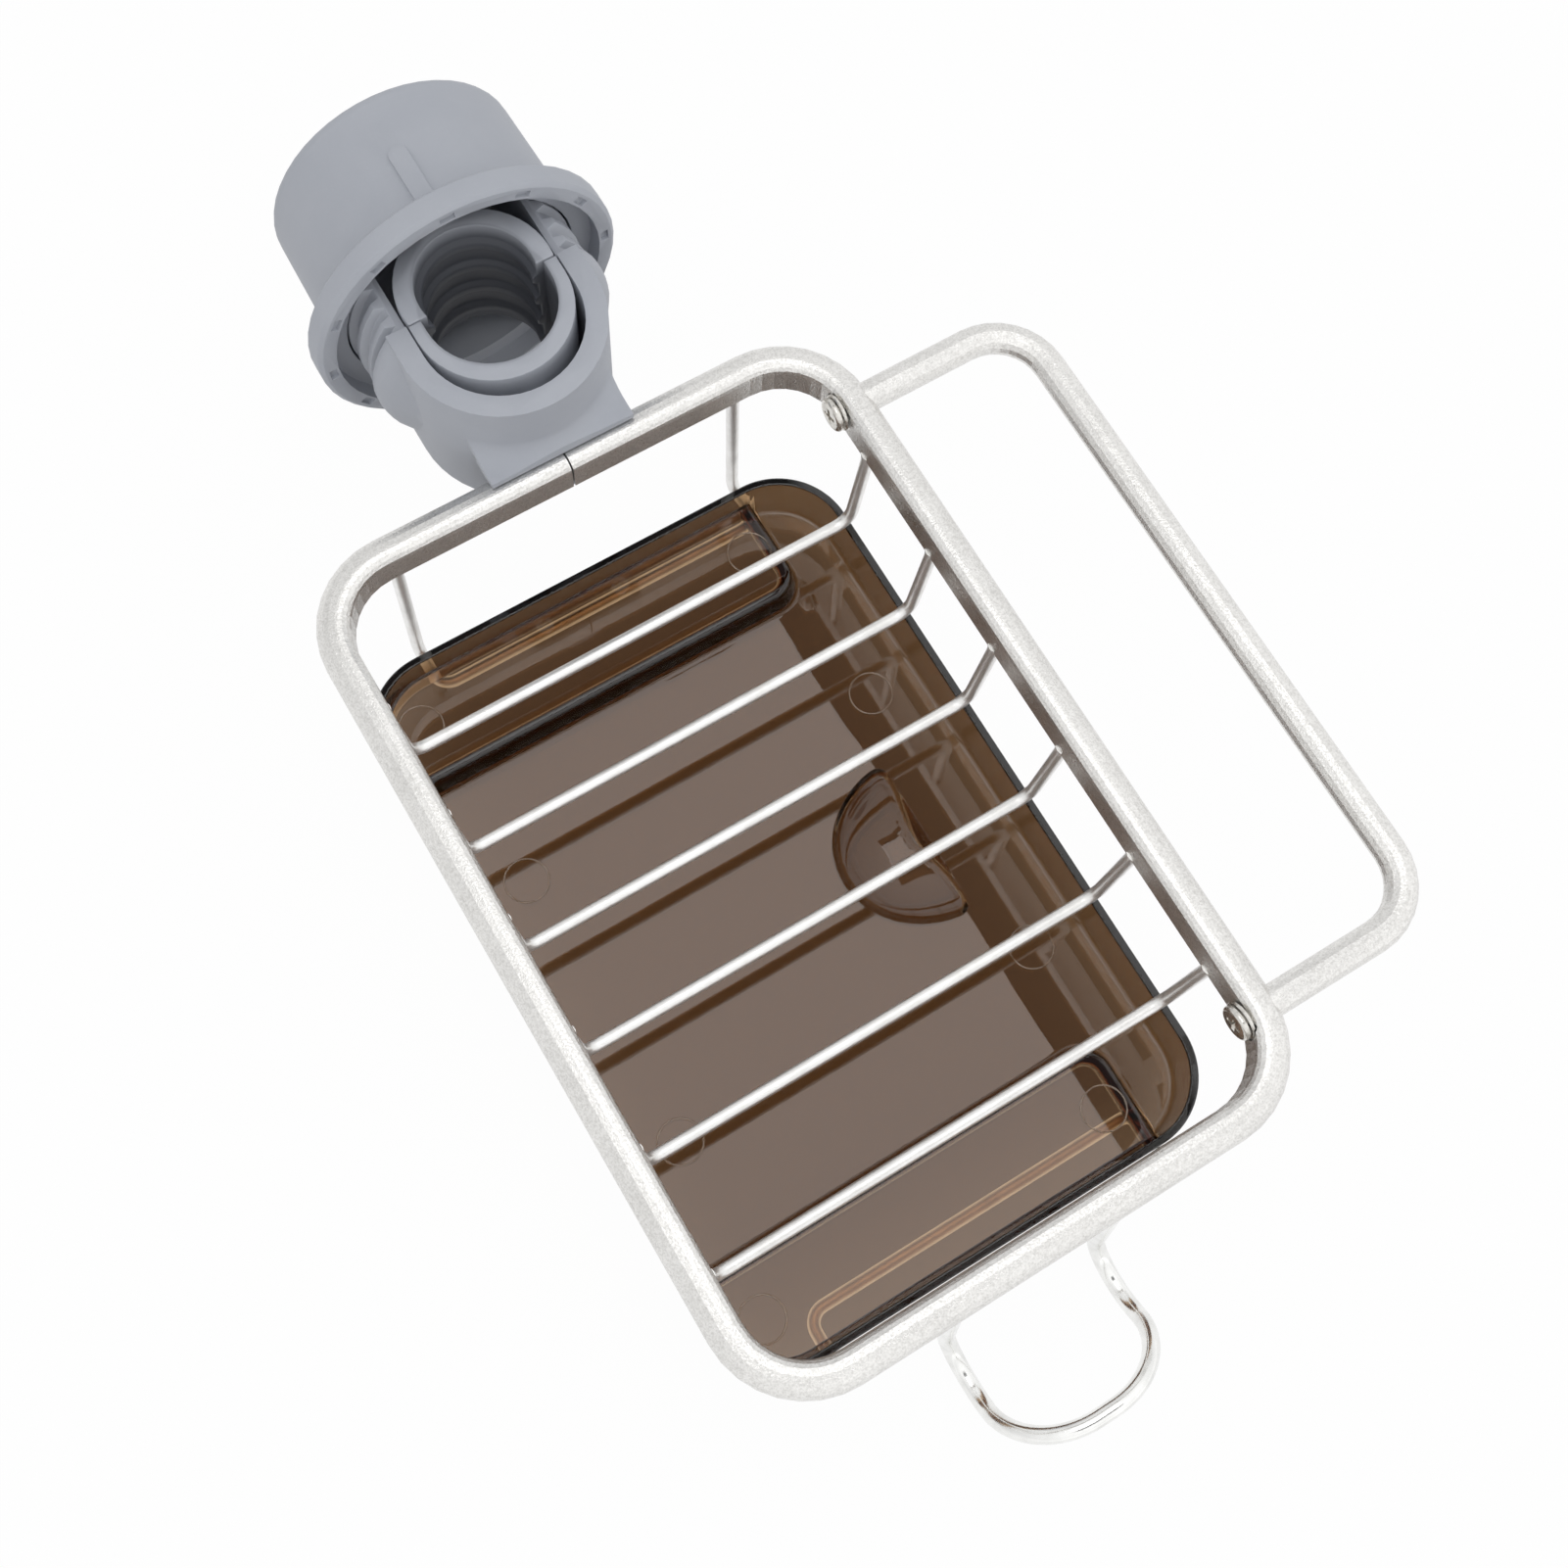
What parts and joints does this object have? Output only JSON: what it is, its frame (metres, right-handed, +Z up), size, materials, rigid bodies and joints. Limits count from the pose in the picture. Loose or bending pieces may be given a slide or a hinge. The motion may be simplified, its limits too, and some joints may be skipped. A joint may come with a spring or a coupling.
{
  "type": "faucet organizer rack",
  "caption": "Faucet rack: bar frame with wire crossbars, towel loop, hook loop and slide-out smoked drip tray, held on the faucet pipe by a screw-down plastic clamp.",
  "frame": {"origin": "on the faucet pipe's axis where the clamp liner holds it, at half the clamp's height, level with the top of the frame bar", "axes": "+Z up along the faucet pipe, +X towards the towel loop, +Y from the frame through the clamp to the cap's closed end"},
  "size_m": [0.1752, 0.3115, 0.104],
  "materials": {
    "aluminium": "fine blasted satin",
    "wire": "satin",
    "chrome": "polished",
    "nickel": "nickel plated",
    "plastic": "matte blue-grey",
    "smoked": "clear smoked, glossy"
  },
  "bodies": {
    "rack": {"frame_loop": "aluminium", "crossbar_1": "wire", "crossbar_2": "wire", "crossbar_3": "wire", "crossbar_4": "wire", "crossbar_5": "wire", "crossbar_6": "wire", "towel_bar": "aluminium", "towel_washer_1": "nickel", "towel_washer_2": "nickel", "towel_screw_1": "nickel", "towel_screw_2": "nickel", "hanger_clamp_end": "wire", "hanger_hook_end": "wire", "hook_loop": "chrome", "clamp_body": "plastic", "clamp_screw_1": "nickel", "clamp_screw_2": "nickel", "clamp_liner": "plastic"},
    "pusher": {"clamp_pusher": "plastic"},
    "cap": {"clamp_cap": "plastic"},
    "tray": {"drip_tray": "smoked"}
  },
  "joints": [
    {"name": "pusher_slide", "type": "slide", "parent": "rack", "child": "pusher", "axis": [0, 1, 0], "range_m": [0, 0.012]},
    {"name": "cap_turn", "type": "hinge", "parent": "pusher", "child": "cap", "pos_m": [0, 0.0507, 0], "axis": [0, 1, 0], "range_deg": [0, 860]},
    {"name": "tray_slide", "type": "slide", "parent": "rack", "child": "tray", "axis": [1, 0, 0], "range_m": [0, 0.1]}
  ],
  "couplings": [
    {"joint": "pusher_slide", "follows": "cap_turn", "m_per_rad": 0.00079577}
  ]
}
